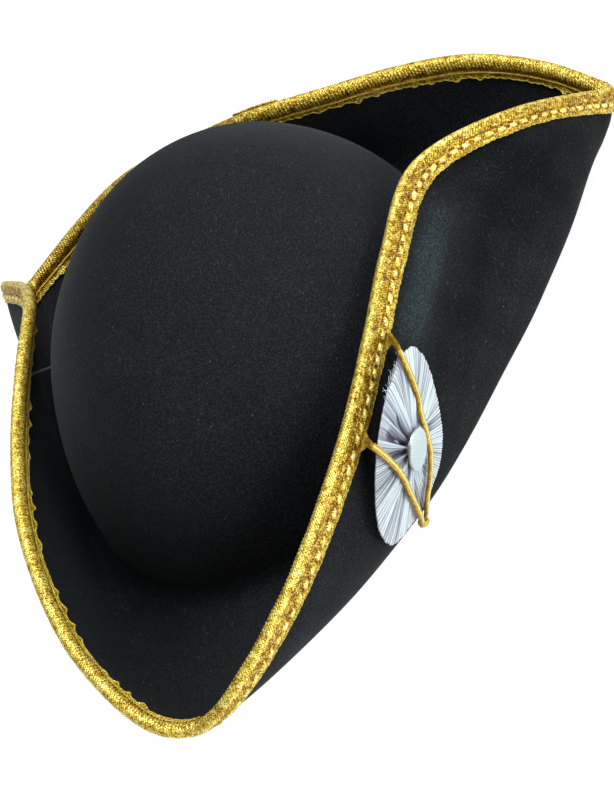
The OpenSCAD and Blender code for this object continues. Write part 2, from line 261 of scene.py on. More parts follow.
def tube(path, radius, sides=8, closed=False, side=None):
    """Points, faces and thread coordinates of a tube; radius may vary along the path."""
    path = np.asarray(path, float)
    if side is None:
        side, up = frames_along(path, closed)
    else:
        tangent = unit(np.gradient(path, axis=0))
        side = unit(side - tangent * np.sum(side * tangent, axis=1, keepdims=True))
        up = np.cross(tangent, side)
    radius = np.broadcast_to(radius, (len(path), sides) if np.ndim(radius) == 2 else len(path))
    if radius.ndim == 1:
        radius = np.repeat(radius[:, None], sides, axis=1)
    a = np.arange(sides) * TURN / sides
    ring = (side[:, None] * (np.cos(a) * radius)[..., None]
            + up[:, None] * (np.sin(a) * radius)[..., None])
    points = (path[:, None] + ring).reshape(-1, 3)
    faces = grid_faces(len(path), sides, closed, True)
    if not closed:
        faces += end_faces(len(path), sides, -1)
    uv = np.stack(np.meshgrid(run_along(path), a * np.mean(radius), indexing="ij"), axis=-1)
    return points, faces, uv.reshape(-1, 2)


def joined(parts):
    """One set of points, faces and thread coordinates from several."""
    points, faces, uv, first = [], [], [], 0
    for p, f, t in parts:
        points.append(p)
        uv.append(t)
        faces += [[k + first for k in face] for face in f]
        first += len(p)
    return np.vstack(points), faces, np.vstack(uv)


def add_threads(name, parts, material, replaces=(), tone=None):
    """One piece from several tubes; tone is the per-point tone at all its points."""
    points, faces, uv = joined(parts)
    tone_and_painted_light = None if tone is None else np.full(len(points), tone)
    add_piece(name, points, faces, material, replaces, uv=uv, tone_and_painted_light=tone_and_painted_light)


def coil(line, across, other, angle, radius, flat=1.0):
    """A thread wound round a line at an angle and radius along it, flattened one way."""
    return (line + across * (np.cos(angle) * radius)[:, None]
            + other * (np.sin(angle) * radius * flat)[:, None])


def smooth_path(route, spacing):
    """A smooth line through a route's points, with points a given distance apart."""
    p = np.array(route, float)
    row = np.vstack([2 * p[0] - p[1], p, 2 * p[-1] - p[-2]])
    line = spline(row, np.linspace(0, len(p) - 1, 60 * len(p)))
    run = run_along(line)
    at = np.linspace(0, run[-1], max(int(run[-1] / spacing), 4) + 1)
    return np.stack([np.interp(at, run, line[:, k]) for k in range(3)], axis=1)


def ridge(x, width):
    return np.exp(-(x / width)**2)


def plateau(x, width):
    return np.exp(-(x / width)**4)


def rise(x, start, width):
    """0 up to start, then rising evenly to 1 over a width."""
    return np.clip((x - start) / width, 0, 1)


def wobble(x, size, waves, seed):
    """Smooth irregular values over x, made of a few waves of about the given length."""
    r = np.random.default_rng(seed)
    total = np.zeros_like(np.asarray(x, float))
    for _ in range(waves):
        length = size * r.uniform(0.6, 1.7)
        total = total + np.sin(TURN * (np.asarray(x) / length + r.uniform(0, 1)))
    return total / waves


# --- Materials ---
class Shader:
    """A material with a Principled shader; make() adds a node and returns its first output."""

    def __init__(self, name, roughness, **constant):
        self.material = bpy.data.materials.new(name)
        self.material.use_nodes = True
        self.tree = self.material.node_tree
        self.surface = self.tree.nodes["Principled BSDF"]
        self.surface.inputs["Roughness"].default_value = roughness
        for key, value in constant.items():
            self.surface.inputs[key.replace("_", " ")].default_value = value

    def put(self, socket, value):
        if isinstance(value, bpy.types.NodeSocket):
            self.tree.links.new(value, socket)
        elif value is not None:
            socket.default_value = value

    def make(self, kind, *values, out=0, **settings):
        node = self.tree.nodes.new("ShaderNode" + kind)
        named = {}
        for key, value in settings.items():
            if key[0].isupper():
                named[key.replace("_", " ")] = value
            else:
                setattr(node, key, value)
        for socket, value in zip(node.inputs, values):
            self.put(socket, value)
        for key, value in named.items():
            self.put(node.inputs[key], value)
        return node.outputs[out]

    def math(self, operation, a, b=0.0):
        return self.make("Math", a, b, operation=operation)

    def place(self):
        return self.make("TexCoord", out=3)

    def along_and_across(self):
        uv = self.make("UVMap", uv_map="thread")
        split = self.tree.nodes.new("ShaderNodeSeparateXYZ")
        self.put(split.inputs[0], uv)
        return split.outputs[0], split.outputs[1]

    # The per-point tone, which carries each piece's painted light and shade
    def tone_and_painted_light(self):
        return self.make("Attribute", attribute_name="tone_and_painted_light", out=2)

    def noise(self, scale, detail=3.0, roughness=0.5, vector=None):
        return self.make("TexNoise", vector or self.place(), Scale=scale, Detail=detail,
                         Roughness=roughness)

    def threads(self, pitch, slant=0.0):
        """0 to 1 across threads that lie across the length, at a slant."""
        along, across = self.along_and_across()
        turn = self.math("ADD", self.math("MULTIPLY", along, 1 / pitch),
                         self.math("MULTIPLY", across, slant / pitch))
        wave = self.math("SINE", self.math("MULTIPLY", turn, TURN))
        return self.math("ADD", self.math("MULTIPLY", wave, 0.5), 0.5)

    def blend(self, share, low, high):
        return self.ramp(share, (0.0, low), (1.0, high))

    def ramp(self, share, *stops):
        """Colours at places from 0 to 1 along a share."""
        node = self.tree.nodes.new("ShaderNodeValToRGB")
        elements = node.color_ramp.elements
        for place, _ in stops[1:-1]:
            elements.new(place)
        for element, (place, color) in zip(elements, stops):
            element.position = place
            element.color = (*color, 1)
        self.put(node.inputs[0], share)
        return node.outputs[0]

    def tint(self, color, other, share, how="MULTIPLY"):
        node = self.tree.nodes.new("ShaderNodeMix")
        node.data_type = "RGBA"
        node.blend_type = how
        self.put(node.inputs[0], share)
        self.put(node.inputs[6], color)
        self.put(node.inputs[7], other)
        return node.outputs[2]

    def color(self, value):
        self.put(self.surface.inputs["Base Color"], value)

    def rough(self, share, low, high):
        value = self.make("MapRange", share, 0.0, 1.0, low, high)
        self.put(self.surface.inputs["Roughness"], value)

    def bump(self, height, depth_mm, normal=None):
        node = self.tree.nodes.new("ShaderNodeBump")
        node.inputs["Strength"].default_value = 1.0
        node.inputs["Distance"].default_value = depth_mm * MM
        self.put(node.inputs["Height"], height)
        if normal is not None:
            self.put(node.inputs["Normal"], normal)
        self.put(self.surface.inputs["Normal"], node.outputs[0])
        return node.outputs[0]


def felt_material():
    m = Shader("wool_felt", 0.93, Sheen_Roughness=0.4, Sheen_Tint=(0.62, 0.76, 0.80, 1),
               Specular_IOR_Level=0.10)
    nap = m.noise(1500, 4, 0.8)
    cloud = m.noise(38, 4, 0.6)
    black = m.blend(cloud, (0.0080, 0.0082, 0.0098), (0.0155, 0.0160, 0.0184))
    grain = m.ramp(nap, (0.34, (0.22, 0.22, 0.22)), (0.52, (0.90, 0.90, 0.90)),
                   (0.68, (2.7, 2.75, 2.8)))
    # Painted light: darker where painted shade lies, paler and teal where a painted highlight lies,
    # by the per-point tone
    painted_light = m.ramp(m.tone_and_painted_light(), (0.0, (0.42, 0.42, 0.44)), (0.5, (1.0, 1.0, 1.0)),
                     (1.0, (1.85, 2.5, 2.25)))
    dark = m.tint(m.tint(black, painted_light, 1.0), grain, 1.0)
    strewn = m.make("Mapping", m.place(), Rotation=(0.5, 0.3, 0.8), Scale=(1.0, 0.22, 0.6))
    fibre = m.make("MapRange", m.noise(1200, 2, 0.6, strewn), 0.65, 0.75, 0.0, 0.26)
    dark = m.tint(dark, (0.095, 0.11, 0.115, 1), fibre, "MIX")
    speck = m.make("TexVoronoi", m.place(), Scale=150.0, out=0)
    lint = m.make("MapRange", speck, 0.015, 0.05, 0.5, 0.0)
    m.color(m.tint(dark, (0.20, 0.21, 0.22, 1), lint, "MIX"))
    # Less sheen where painted shade darkens the felt
    sheen_by_painted_light = m.make("MapRange", m.tone_and_painted_light(), 0.0, 0.5, 0.022, 0.08)
    m.put(m.surface.inputs["Sheen Weight"], sheen_by_painted_light)
    soft = m.bump(cloud, 0.5)
    m.bump(nap, 0.16, soft)
    return m.material


# Gold from dark brown painted shade through the thread's yellow to a pale painted highlight
GOLD_STOPS = ((0.0, (0.055, 0.013, 0.001)), (0.28, (0.235, 0.092, 0.003)),
              (0.55, (0.59, 0.355, 0.017)), (0.80, (0.93, 0.74, 0.12)), (1.0, (1.0, 0.94, 0.46)))


def gold_material(name, pitch, slant, speckle=0.95, metallic=0.5):
    """Metal thread at a pitch in mm: two sets of slanting threads that cross, dark between.

    The per-point tone is 0 in the braid's crevices, as painted shade, and 1 on the threads that
    stand out of it, as painted highlight."""
    m = Shader(name, 0.34, Metallic=metallic, Specular_IOR_Level=0.5)
    first = m.threads(pitch, slant)
    second = m.threads(pitch * 1.07, -slant * 1.2)
    crossed = m.math("MAXIMUM", first, second)
    grain = m.noise(1150, 2, 0.6)
    patch = m.noise(330, 2, 0.5)
    uneven = m.math("MULTIPLY", m.math("SUBTRACT", grain, 0.5), speckle * 1.9)
    wide = m.math("MULTIPLY", m.math("SUBTRACT", patch, 0.5), speckle * 0.8)
    # Painted shade and highlight from the per-point tone, over the crossing threads' pattern
    tone = m.math("ADD", m.math("MULTIPLY", m.tone_and_painted_light(), 0.62), m.math("MULTIPLY", crossed, 0.36))
    tone = m.math("ADD", tone, m.math("ADD", uneven, wide))
    m.color(m.ramp(tone, *GOLD_STOPS))
    m.rough(grain, 0.22, 0.48)
    m.bump(crossed, 0.12)
    return m.material


def ribbon_material(name, pitch, white, shade, sheen=0.3):
    """Ribbed ribbon: fine ribs, and painted shade in the folds, where the per-point tone is low."""
    m = Shader(name, 0.5, Sheen_Weight=sheen, Sheen_Roughness=0.35, Specular_IOR_Level=0.45)
    ribs = m.threads(pitch)
    middle = tuple(0.5 * a + 0.5 * b for a, b in zip(white, shade))
    cloth = m.ramp(m.tone_and_painted_light(), (0.0, shade), (0.5, middle), (0.85, white), (1.0, white))
    mottle = m.blend(m.noise(260, 3, 0.6), (0.88, 0.89, 0.93), (1.05, 1.05, 1.04))
    m.color(m.tint(cloth, mottle, 1.0))
    m.rough(m.noise(700, 2), 0.42, 0.62)
    m.bump(ribs, 0.06)
    return m.material


def thread_material(name, bright, deep, pitch=0.35):
    m = Shader(name, 0.6, Sheen_Weight=0.3)
    twist = m.threads(pitch, 0.7)
    m.color(m.blend(twist, deep, bright))
    m.bump(twist, 0.08)
    return m.material


def woven_material(name, white, shade, pitch=0.4):
    """Plain weave: threads along and across the thread coordinates, one over the other."""
    m = Shader(name, 0.72, Sheen_Weight=0.25)
    along, across = m.along_and_across()
    waves = [m.math("SINE", m.math("MULTIPLY", way, TURN / pitch))
             for way in (along, across)]
    over = m.math("MULTIPLY", waves[0], waves[1])
    weave = m.math("ADD", m.math("MULTIPLY", over, 0.5), 0.5)
    cloth = m.blend(weave, shade, white)
    mottle = m.blend(m.noise(500, 3, 0.6), (0.86, 0.87, 0.88), (1.05, 1.05, 1.05))
    m.color(m.tint(cloth, mottle, 1.0))
    m.bump(weave, 0.10)
    return m.material


def plain_cloth_material(name, white, shade, thread_mm):
    """Close cloth or thread on a CAD part, by its place on the object."""
    m = Shader(name, 0.7, Sheen_Weight=0.25)
    fine = m.noise(1000 / thread_mm, 3, 0.7)
    m.color(m.ramp(fine, (0.35, shade), (0.65, white)))
    m.rough(fine, 0.55, 0.85)
    m.bump(fine, 0.06)
    return m.material


def steel_material():
    m = Shader("drawn_steel", 0.35, Metallic=1.0)
    streaks = m.noise(2500, 3)
    m.color(m.blend(streaks, (0.42, 0.42, 0.44), (0.66, 0.66, 0.68)))
    m.rough(streaks, 0.25, 0.5)
    m.bump(streaks, 0.02)
    return m.material


FELT_CLOTH = felt_material()
GOLD_BRAID = gold_material("gold_braid_thread", 1.1, 0.8)
GOLD_EDGE = gold_material("gold_picot_thread", 0.6, 1.2, 0.5)
GOLD_GIMP = gold_material("gold_gimp_thread", 0.5, 0.4, 0.45, 0.55)
# The rosette's second colour is the painted shade in its folds
ROSETTE_CLOTH = ribbon_material("rosette_ribbon", 0.33, (0.71, 0.79, 0.81), (0.085, 0.065, 0.15))
BAND_CLOTH = ribbon_material("grosgrain_band", 0.3, (0.022, 0.023, 0.027),
                             (0.008, 0.008, 0.010), 0.2)
BLACK_THREAD = thread_material("black_sewing_thread", (0.035, 0.036, 0.04), (0.010, 0.010, 0.012))
WHITE_THREAD = thread_material("white_sewing_thread", (0.86, 0.88, 0.93), (0.55, 0.57, 0.66))
LABEL_CLOTH = woven_material("label_weave", (0.80, 0.80, 0.77), (0.62, 0.62, 0.60))
BUTTON_CLOTH = woven_material("button_weave", (0.68, 0.77, 0.76), (0.34, 0.41, 0.44), 0.9)
STEEL = steel_material()
BUCKRAM = plain_cloth_material("stiff_backing", (0.78, 0.78, 0.76), (0.52, 0.52, 0.50), 0.8)
THREAD_WRAP = plain_cloth_material("shank_thread_wrap", (0.82, 0.84, 0.88), (0.50, 0.52, 0.60), 0.5)


def finish_cad_nodes():
    """The CAD parts that keep their own shape get their materials."""
    looks = {"edge_wire": STEEL, "button_back": STEEL, "cockade_backing": BUCKRAM,
             "cockade_tacks": THREAD_WRAP, "shank_thread": THREAD_WRAP}
    for name, material in looks.items():
        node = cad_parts[name]
        node.data.materials.clear()
        node.data.materials.append(material)


finish_cad_nodes()


# --- Felt ---
FELT_RINGS = 470
FELT_IN = 1.25  # the felt ends this far inside the rim line
LIP = 0.8  # how far in from the felt's edge its rounding starts
FILLET = 5.0  # size of the bend between brim and crown
CROWN_ROWS = 58
BEND_ROWS = 7
TOP_ROWS = 56
UNDER_ROWS = 46
INNER_BEND_ROWS = 6
INSIDE_ROWS = 20
# Middle of the felt's per-point tone, where no light or shade is painted
EVEN_NAP = 0.5
CROWN_PAINTED_SHADE = 0.07  # how much painted shade darkens the crown towards the wearer's right
RIGHT_FLAP_AT = 22.0  # the station in the middle of the right flap
RIGHT_FLAP_HALF = 3.5
RIGHT_FLAP_PAINTED_SHADE = 0.48  # painted shade: how much darker the felt is on that flap's inner face
UNEVEN = 0.28  # depth of hand-blocked felt's unevenness


def bend(a, corner, b, count):
    """Points of a rounded bend from a to b inside a corner, without its two ends."""
    f = (np.arange(1, count + 1) / (count + 1))[:, None]
    return a[:, None] * (1 - f)**2 + 2 * corner[:, None] * f * (1 - f) + b[:, None] * f**2


# A soft ridge in the left flap, beside the braid: station, half its length in stations,
# distance in from the edge, width and depth
FLAP_RIDGE = (5.2, 0.9, 19.0, 7.5, 2.0)


def flap_ridge(u, inward):
    station, half, middle, width, depth = FLAP_RIDGE
    return depth * ridge(inward - middle, width) * plateau(u - station, half)


def painted_light_and_nap(u, inward):
    """Painted light on the outer face, 0 to 1: a painted highlight in a band beside the braid,
    painted shade in the left flap's hollow, a painted shadow of the braid right beside it, painted
    shade near the flap's upper corner, and patchy nap.
    """
    left = plateau(u - 5.4, 1.5)
    # Painted highlight in a band beside the braid
    band = 0.62 * ridge(inward - 19, 8.5) * plateau(u - 5.0, 0.85)
    # Painted shade in the flap's hollow, and the braid's painted shadow right beside it
    hollow = 0.38 * ridge(inward - 46, 19) * left + 0.30 * ridge(inward - 9, 4) * left
    # Painted shade near the flap's upper corner
    upper = 0.45 * ridge(u - 6.8, 0.9) * ridge(inward - 22, 20)
    patchy = 0.10 * np.sin(u * 7.3 + inward / 9) * np.sin(u * 3.1 - inward / 6 + 1)
    return np.clip(EVEN_NAP + band - hollow - upper + patchy, 0, 1)


def blocked_felt():
    run = np.arange(FELT_RINGS) * EDGE_LENGTH / FELT_RINGS
    u = station_at(run)[:, None]
    angle = base_angle(u)
    top_at_base = FELT / CROWN_HEIGHT
    span = np.linalg.norm(brim(u, 0.1) - brim(u, 0), axis=-1) / 0.1
    bend_s = FILLET / span[:, 0]

    edge_span = np.linalg.norm(brim(u, 1) - brim(u, 0.9), axis=-1) / 0.1
    last = 1 - FELT_IN / edge_span

    def brim_row(lift, s_low, s_high, count):
        """A face of the brim, and how far in from the edge its points lie."""
        f = np.linspace(0, 1, count)[None, :]
        s = s_low[:, None] * (1 - f) + s_high * f
        inward = (1 - s) * edge_span
        return brim_at(u, s, lift - flap_ridge(u, inward)), inward

    phi = np.linspace(1.2, 90, CROWN_ROWS)[None, :-1] * np.pi / 180
    outside_foot = (FELT + FILLET) / CROWN_HEIGHT
    outside = crown(angle, np.cos(phi) * (1 - outside_foot) + outside_foot)
    near_edge = last - LIP / FELT_IN * (1 - last)
    top, _ = brim_row(FELT, bend_s, near_edge, TOP_ROWS)
    lip = [brim_at(u, near_edge + (last - near_edge) * c, FELT / 2 + h * FELT / 2)
           for c, h in ((0.75, 0.8), (1, 0), (0.75, -0.8))]
    under, inward = [face[:, ::-1] for face in brim_row(0.0, bend_s, near_edge, UNDER_ROWS)]
    low = crown(angle, np.zeros_like(angle), FELT)[:, 0]
    corner = crown(angle, np.full_like(angle, top_at_base))[:, 0]
    inside_foot = FILLET / CROWN_HEIGHT
    psi = np.linspace(90, 4, INSIDE_ROWS)[None, :] * np.pi / 180
    inside = crown(angle, np.cos(psi) * (1 - inside_foot) + inside_foot, FELT)
    rows = np.concatenate([
        outside,
        bend(outside[:, -1], corner, top[:, 0], BEND_ROWS),
        top, *lip, under,
        bend(under[:, -1], low, inside[:, 0], INNER_BEND_ROWS),
        inside], axis=1)
    n = rows.shape[1]
    # The felt's per-point tone: painted shade on the crown and the right flap's inner face, painted
    # light and shade on the outer face
    nap = np.full(rows.shape[:2], EVEN_NAP)
    brim_from = outside.shape[1]
    lip_from = brim_from + BEND_ROWS + top.shape[1]
    under_from = lip_from + len(lip)
    nap[:, :brim_from] -= CROWN_PAINTED_SHADE * (1 - np.cos(angle))
    right_flap = plateau(u - RIGHT_FLAP_AT, RIGHT_FLAP_HALF)
    nap[:, brim_from:lip_from] -= RIGHT_FLAP_PAINTED_SHADE * right_flap
    nap[:, under_from:under_from + under.shape[1]] = painted_light_and_nap(u, inward)
    nap = np.append(nap.ravel(), [EVEN_NAP, EVEN_NAP])
    points = rows.reshape(-1, 3)
    # Soft unevenness of hand-blocked felt, the same on both faces
    x, y, z = points.T
    uneven = (np.sin(x / 13 + 0.7) * np.sin(y / 17 + z / 29)
              + 0.6 * np.sin(x / 23 - y / 11 + 1.3) * np.sin(z / 14 + 0.4))
    centre = np.array([0.0, 0.0, 20.0])
    points = points + unit(points - centre) * (uneven * UNEVEN)[:, None]
    faces = grid_faces(FELT_RINGS, n, True, False)
    apex = len(points)
    points = np.vstack([points, [CROWN_LEAN, 0, CROWN_HEIGHT],
                        [CROWN_LEAN, 0, CROWN_HEIGHT - FELT]])
    for i in range(FELT_RINGS):
        k = (i + 1) % FELT_RINGS
        faces.append([apex, i * n, k * n])
        faces.append([apex + 1, k * n + n - 1, i * n + n - 1])
    add_piece("blocked_felt", points, faces, FELT_CLOTH, ["felt_body"],
              tone_and_painted_light=nap)


blocked_felt()


# --- Gold braid ---
OUTER_WIDTH = 9.3
GAP = 0.15
BRAID_STEP = 0.28
PEARL_PITCH = 5.5
PEARL_AT = 6.0
BORDER_PITCH = 2.8
WINDING_PITCH = 1.45
PICOT_PITCH = 3.6
LOBE_PITCH = 8.7
BACK_PAINTED_SHADE = 0.16  # painted shade: how much darker the roll is at the back
PIPING_AT = 6.45
# The roll round the felt's edge: [distance in from the edge, height above the outer face]
ROLL = [[0.5, -0.9], [-0.45, -0.6], [-0.9, 0.35], [-0.85, 1.5], [-0.2, 2.8], [1.2, 3.75],
        [3.0, 4.05], [4.6, 3.5], [5.7, 2.6]]


def outer_relief(x, t):
    """Height and tone of the braid's outer face, x in from the felt's edge, t along it."""
    middle = PEARL_AT + 0.12 * wobble(t, 31, 3, 5)
    turn = t / PEARL_PITCH + 0.05 * wobble(t, 23, 3, 6)
    local = (turn % 1 - 0.5) * PEARL_PITCH
    lean = local + 0.45 * (x - middle)
    inside = 1 - (lean / 2.0)**2 - ((x - middle) / 1.15)**2
    pearl = np.sqrt(np.clip(inside, 0, 1))
    swing = 1.2 * np.cos(np.pi * turn)
    strands = ridge(x - middle - swing, 0.4) + ridge(x - middle + swing, 0.4)
    strands = np.clip(strands, 0, 1) * (1 - pearl)
    basket = np.maximum(np.cos(TURN * (t / 1.25 + x / 1.5)),
                        np.cos(TURN * (t / 1.35 - x / 1.15)))
    bands = 0.5 + 0.5 * np.cos(TURN * (t / PEARL_PITCH - x / 3.6))
    body = np.clip((middle - 1.5 - x) / 0.8, 0, 1)
    border = np.clip((x - middle - 1.3) / 0.5, 0, 1)
    height = (0.42 + 0.95 * pearl + 0.4 * strands + body * (0.42 + 0.16 * basket + 0.14 * bands)
              + border * (0.10 + 0.10 * basket))
    # Tone: painted highlight on the pearls and strands that stand out, painted shade in the hollows
    # between, over the weave's pattern
    tone = (0.02 + 1.1 * pearl + 0.45 * strands + body * (0.28 + 0.26 * basket - 0.22 * bands)
            + border * (0.36 + 0.2 * basket) + 0.45 * ridge(x, 0.9))
    return height, np.clip(tone, 0, 1)


def lobes(t):
    """0 to 1 where the braid's inner border ruffles away from the felt."""
    turn = t / LOBE_PITCH + 0.35 * wobble(t, 46, 4, 41)
    size = np.clip(0.45 + 1.1 * wobble(t, 33, 3, 42), 0, 1)
    return size * ridge((turn % 1 - 0.5) * LOBE_PITCH, 1.7)


def picot_reach(t):
    small = np.abs(np.sin(np.pi * t / PICOT_PITCH + 0.5 * wobble(t, 40, 3, 12)))
    return 9.0 + 0.6 * small + 1.2 * lobes(t)


def border_ripple(t):
    return 0.14 * np.cos(TURN * t / BORDER_PITCH) + 0.25 * wobble(t, 14, 4, 3)


def braid_section(t):
    """[distance in from the edge, height, tone 0 to 1] round the braid's section."""
    t = t[:, None]
    columns = []

    x = np.linspace(OUTER_WIDTH, 0.8, 30)[None, :]
    reach = rise(x, 7.6, 1.7)
    h, tone = outer_relief(x, t)
    thin = np.clip((OUTER_WIDTH - x) / 0.5, 0.3, 1)
    columns.append((x + reach * border_ripple(t), -GAP - h * thin, tone))

    # The roll round the edge and over the inner face, wound across on its inner side
    step = np.linspace(0, len(ROLL) - 1, 30)
    ends = np.array([ROLL[0], *ROLL, ROLL[-1]], float)
    line = spline(ends, step)
    out = unit(np.stack([-np.gradient(line[:, 1]), np.gradient(line[:, 0])], axis=1))
    f = (step / step[-1])[None, :]
    wound = np.cos(TURN * (t / WINDING_PITCH + 0.55 * np.sin(2.6 * f) + 0.22 * wobble(t, 12, 3, 8)))
    inner = rise(f, 0.30, 0.2)
    lift = 0.16 * wobble(t, 17, 4, 9) * inner + 0.11 * wound * inner * np.clip((1 - f) / 0.1, 0, 1)
    x = line[None, :, 0] + out[None, :, 0] * lift
    h = line[None, :, 1] + out[None, :, 1] * lift
    # Painted shade on the roll's inner face and at the back, painted light on its windings' crests
    shade = rise(f, 0.62, 0.3)
    back_shade = BACK_PAINTED_SHADE * ridge(station_at(t) - HALF, 3.5)
    tone = 0.64 - 0.12 * inner - 0.54 * shade + (0.22 + 0.10 * shade) * wound * inner - back_shade
    columns.append((x, h, np.clip(tone, 0, 1)))

    # The woven band inside the groove, which lifts off the felt at its ruffles
    f = np.linspace(0, 1, 10)[None, :]
    x = 5.9 + (picot_reach(t) - 0.15 - 5.9) * f
    lattice = np.cos(TURN * (t / 1.3 + x / 1.5)) * np.cos(TURN * (t / 1.3 - x / 1.5))
    h = FELT + GAP + 0.35 + 0.14 * lattice + 0.9 * lobes(t) * f**2
    tone = 0.26 + 0.30 * lattice * np.sin(np.pi * f) + 0.15 * lobes(t)
    columns.append((x, h, np.clip(tone, 0, 1)))

    # Hidden inside of the fold
    lifted = FELT + 0.1 + 0.9 * lobes(t)
    columns.append((picot_reach(t) - 0.3, lifted, 0 * t))
    for depth, height in ((5.5, FELT + 0.1), (0.6, FELT + 0.1), (-0.4, FELT / 2 + 0.5),
                          (-0.4, FELT / 2 - 0.5), (0.6, -0.1), (OUTER_WIDTH - 0.4, -0.1)):
        columns.append((depth + 0 * t, height + 0 * t, 0 * t))
    return [np.concatenate([np.broadcast_to(c[k], (len(t), c[k].shape[1])) for c in columns],
                           axis=1) for k in range(3)]


def braid_piece(name, start, end, replaces=()):
    """The braid from one distance along the edge to another."""
    t = np.linspace(start, end, int((end - start) / BRAID_STEP) + 2)
    x, h, tone = braid_section(t)
    u = station_at(t)[:, None] + 0 * x
    points = from_edge(u, x, h)
    rows, columns = x.shape
    across = run_along(points[rows // 2])
    uv = np.stack(np.broadcast_arrays(t[:, None], across[None, :]), axis=-1)
    faces = grid_faces(rows, columns, False, True) + end_faces(rows, columns)
    add_piece(name, points, faces, GOLD_BRAID, replaces, uv=uv, tone_and_painted_light=tone)


LEFT_CORNER_RUN = run_at(CORNER)
RIGHT_CORNER_RUN = run_at(LOOP - CORNER)
braid_piece("left_braid", 0.0, LEFT_CORNER_RUN, ["edge_braid"])
braid_piece("back_braid", LEFT_CORNER_RUN, RIGHT_CORNER_RUN)
braid_piece("right_braid", RIGHT_CORNER_RUN, EDGE_LENGTH)


def edge_thread(name, inward, height, radius, step=0.4):
    """A thread that runs right round the brim; inward and height are functions of the run."""
    count = int(EDGE_LENGTH / step)
    t = np.arange(count) * EDGE_LENGTH / count
    path = from_edge(station_at(t), inward(t), height(t))
    add_threads(name, [tube(path, radius, 6, closed=True)], GOLD_EDGE, tone=0.62)


edge_thread("picot_border", picot_reach,
            lambda t: FELT + GAP + 0.5 + 0.9 * lobes(t) + 0.1 * wobble(t, 15, 3, 15), 0.36, 0.3)
edge_thread("braid_piping", lambda t: PIPING_AT + 0.12 * wobble(t, 19, 3, 16),
            lambda t: FELT + GAP + 0.85 + 0 * t, 0.46)
edge_thread("outer_border", lambda t: OUTER_WIDTH - 0.25 + border_ripple(t),
            lambda t: -GAP - 0.4 + 0 * t, 0.3, 0.3)


# --- Cockade: its own frame, with Z the way the rosette faces ---
COCKADE_AT = np.array([81.7, -84.8, 32.1])
COCKADE_OUT = unit(np.array([0.938, -0.203, -0.276]))
ROSETTE_LONG = 35.4
ROSETTE_NARROW = 0.65
ROSETTE_LEAN = math.radians(122)
ROSETTE_SHIFT = (2.3, 2.6)
RIM_DROP = 4.0
RIM_CURL = 2.8
CURL_AT = math.radians(35)


def cockade_axes():
    polar, around = math.acos(COCKADE_OUT[2]), math.atan2(COCKADE_OUT[1], COCKADE_OUT[0])
    turn = Matrix.Rotation(around, 3, "Z") @ Matrix.Rotation(polar, 3, "Y")
    return np.array(turn)


COCKADE_TURN = cockade_axes()


def on_cockade(points):
    return COCKADE_AT + np.asarray(points) @ COCKADE_TURN.T


def rim_point(angle):
    x, y = ROSETTE_LONG * np.cos(angle), ROSETTE_LONG * ROSETTE_NARROW * np.sin(angle)
    c, s = math.cos(ROSETTE_LEAN), math.sin(ROSETTE_LEAN)
    return ROSETTE_SHIFT[0] + x * c - y * s, ROSETTE_SHIFT[1] + x * s + y * c


def dish(x, y, f):
    curl = np.maximum(0, np.cos(np.arctan2(y, x) - CURL_AT))**2
    return f * f * (RIM_CURL * curl - RIM_DROP * (1 - curl))


RIB_COUNT = 132
LOBE_SPREAD = 1.35  # how much wider the pleats lie towards the rosette's two long ends
RIB_DEPTH = 0.24
RIBBON_THICK = 0.5
HOLE = 3.0
ROSETTE_MEAN = 30.0  # the radius that the ribbon's thread coordinates use


def ribbon_folds(a, f):
    """Height of the gathered ribbon at an angle, f of the way out, and its tone: painted shade in
    its folds and round the middle, painted light on its crests and towards the curled rim.
    """
    from_lobe = a - ROSETTE_LEAN
    turn = np.arctan2(np.sin(from_lobe), LOBE_SPREAD * np.cos(from_lobe)) / TURN

    def swing(waves, seed):
        r = np.random.default_rng(seed)
        return sum(np.sin(TURN * (k * turn + r.uniform())) * r.uniform(0.4, 1)
                   for k in waves) / len(waves)

    warp = 0.020 * swing((3, 5, 8), 21) + 0.010 * swing((13, 17), 22) * (1 - f)
    lean = warp * (1 - 0.6 * f)
    large = np.cos(TURN * (11 * (turn + lean)) + 1.9 * swing((2, 3), 23))
    middle = np.cos(TURN * (31 * (turn + 1.4 * lean)) + 2.0 * swing((4, 7), 24))
    fine = np.cos(TURN * (56 * (turn + lean)) + 2.2 * swing((9, 14), 25))
    rib = 2 * np.abs(np.cos(np.pi * RIB_COUNT * (turn + 0.4 * lean)))**0.7 - 1
    near = np.clip(1 - f, 0, 1)
    size_large = 0.95 * ridge(f - 0.42, 0.34) * (0.75 + 0.35 * swing((2, 5), 26))
    size_middle = 0.55 * ridge(f - 0.36, 0.26)
    size_fine = 0.30 * ridge(f - 0.55, 0.22)
    ribbed = rise(f, 0.22, 0.3)
    creased = np.sign(large) * np.abs(large)**0.7
    height = (creased * size_large + middle * size_middle + fine * size_fine
              + rib * ribbed * RIB_DEPTH)
    pucker = -1.3 * ridge(f, 0.13) + 1.0 * ridge(f - 0.24, 0.13) * near
    outer = ridge(f - 0.62, 0.42)
    # Painted shade in the folds and round the middle, painted light on the crests and towards the
    # curled rim
    tone = (0.50 + 0.20 * creased * outer + 0.19 * middle * outer + 0.20 * fine * outer
            + 0.32 * rib * ribbed + 0.11 * np.cos(a - CURL_AT)
            - 0.7 * ridge(f, 0.15))
    return height + pucker, np.clip(tone, 0, 1)


# A few folds sink deep: angle in degrees, width, depth and how far out they reach
DEEP_FOLDS = ((201, 0.10, 3.0, 0.85), (236, 0.08, 2.6, 0.75), (172, 0.07, 2.2, 0.70),
              (318, 0.06, 1.6, 0.60), (62, 0.06, 1.7, 0.80))
OVERLAP_AT = math.radians(163)
FRAYED = 46
FRAYED_FROM_TO = (138, 174)  # degrees round the rosette


